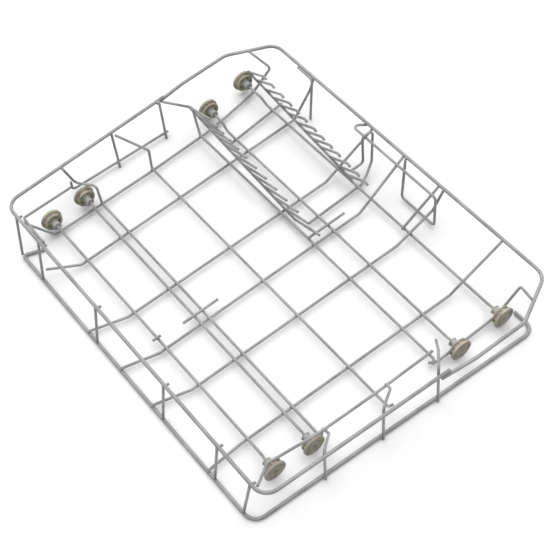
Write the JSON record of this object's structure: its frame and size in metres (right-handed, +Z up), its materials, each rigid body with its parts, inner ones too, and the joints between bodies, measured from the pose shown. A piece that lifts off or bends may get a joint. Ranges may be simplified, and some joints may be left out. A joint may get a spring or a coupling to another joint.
{
  "type": "dishwasher basket",
  "caption": "Low wire rack on small rollers: an open rim over a flat wire net, upright posts, slanted tine rows and a raised wire frame at the back.",
  "frame": {"origin": "on the floor, in the middle of the outline", "axes": "+X across the rack to its right side, +Y from the front to the back, +Z up"},
  "size_m": [0.5482, 0.427, 0.0702],
  "materials": {
    "wire_coat": "soft gloss plastic coating over steel wire",
    "wheel_plastic": "satin beige-grey",
    "bush_plastic": "satin light grey"
  },
  "bodies": {
    "basket": {"corner_wire_left": "wire_coat", "cross_wire_1": "wire_coat", "cross_wire_2": "wire_coat", "cross_wire_3": "wire_coat", "cross_wire_4": "wire_coat", "cross_wire_5": "wire_coat", "cross_wire_6": "wire_coat", "cross_wire_7": "wire_coat", "front_post_1": "wire_coat", "front_post_2": "wire_coat", "front_post_3": "wire_coat", "front_post_4": "wire_coat", "front_post_5": "wire_coat", "front_post_6": "wire_coat", "hook_wire_right": "wire_coat", "inner_wire_right": "wire_coat", "long_wire_1": "wire_coat", "long_wire_2": "wire_coat", "long_wire_3": "wire_coat", "long_wire_4": "wire_coat", "long_wire_5": "wire_coat", "long_wire_left": "wire_coat", "low_frame_wire": "wire_coat", "low_side_wire_left": "wire_coat", "rear_frame": "wire_coat", "rear_post": "wire_coat", "rear_strut": "wire_coat", "rim_wire_back": "wire_coat", "rim_wire_front": "wire_coat", "short_wire_back": "wire_coat", "short_wire_front_1": "wire_coat", "short_wire_front_2": "wire_coat", "short_wire_left": "wire_coat", "side_post_left_1": "wire_coat", "side_post_left_2": "wire_coat", "side_post_right_1": "wire_coat", "side_post_right_2": "wire_coat", "side_rail_right": "wire_coat", "tine_row_back": "wire_coat", "tine_row_middle": "wire_coat", "wheel_bush_left_1": "bush_plastic", "wheel_bush_left_2": "bush_plastic", "wheel_bush_left_3": "bush_plastic", "wheel_bush_left_4": "bush_plastic", "wheel_bush_right_1": "bush_plastic", "wheel_bush_right_2": "bush_plastic", "wheel_bush_right_3": "bush_plastic", "wheel_bush_right_4": "bush_plastic"},
    "wheel_left_1": {"wheel_left_1": "wheel_plastic"},
    "wheel_left_2": {"wheel_left_2": "wheel_plastic"},
    "wheel_left_3": {"wheel_left_3": "wheel_plastic"},
    "wheel_left_4": {"wheel_left_4": "wheel_plastic"},
    "wheel_right_1": {"wheel_right_1": "wheel_plastic"},
    "wheel_right_2": {"wheel_right_2": "wheel_plastic"},
    "wheel_right_3": {"wheel_right_3": "wheel_plastic"},
    "wheel_right_4": {"wheel_right_4": "wheel_plastic"}
  },
  "joints": [
    {"name": "wheel_left_1_spin", "type": "hinge", "parent": "basket", "child": "wheel_left_1", "pos_m": [-0.2313, -0.15775, 0.0188], "axis": [1, 0, 0], "continuous": true},
    {"name": "wheel_left_2_spin", "type": "hinge", "parent": "basket", "child": "wheel_left_2", "pos_m": [-0.2353, -0.10625, 0.0188], "axis": [1, 0, 0], "continuous": true},
    {"name": "wheel_left_3_spin", "type": "hinge", "parent": "basket", "child": "wheel_left_3", "pos_m": [-0.2463, 0.09825, 0.0188], "axis": [1, 0, 0], "continuous": true},
    {"name": "wheel_left_4_spin", "type": "hinge", "parent": "basket", "child": "wheel_left_4", "pos_m": [-0.2553, 0.16225, 0.0188], "axis": [1, 0, 0], "continuous": true},
    {"name": "wheel_right_1_spin", "type": "hinge", "parent": "basket", "child": "wheel_right_1", "pos_m": [0.2117, -0.15875, 0.0188], "axis": [1, 0, 0], "continuous": true},
    {"name": "wheel_right_2_spin", "type": "hinge", "parent": "basket", "child": "wheel_right_2", "pos_m": [0.2157, -0.10775, 0.0188], "axis": [1, 0, 0], "continuous": true},
    {"name": "wheel_right_3_spin", "type": "hinge", "parent": "basket", "child": "wheel_right_3", "pos_m": [0.2317, 0.09425, 0.0188], "axis": [1, 0, 0], "continuous": true},
    {"name": "wheel_right_4_spin", "type": "hinge", "parent": "basket", "child": "wheel_right_4", "pos_m": [0.2317, 0.16025, 0.0188], "axis": [1, 0, 0], "continuous": true}
  ]
}
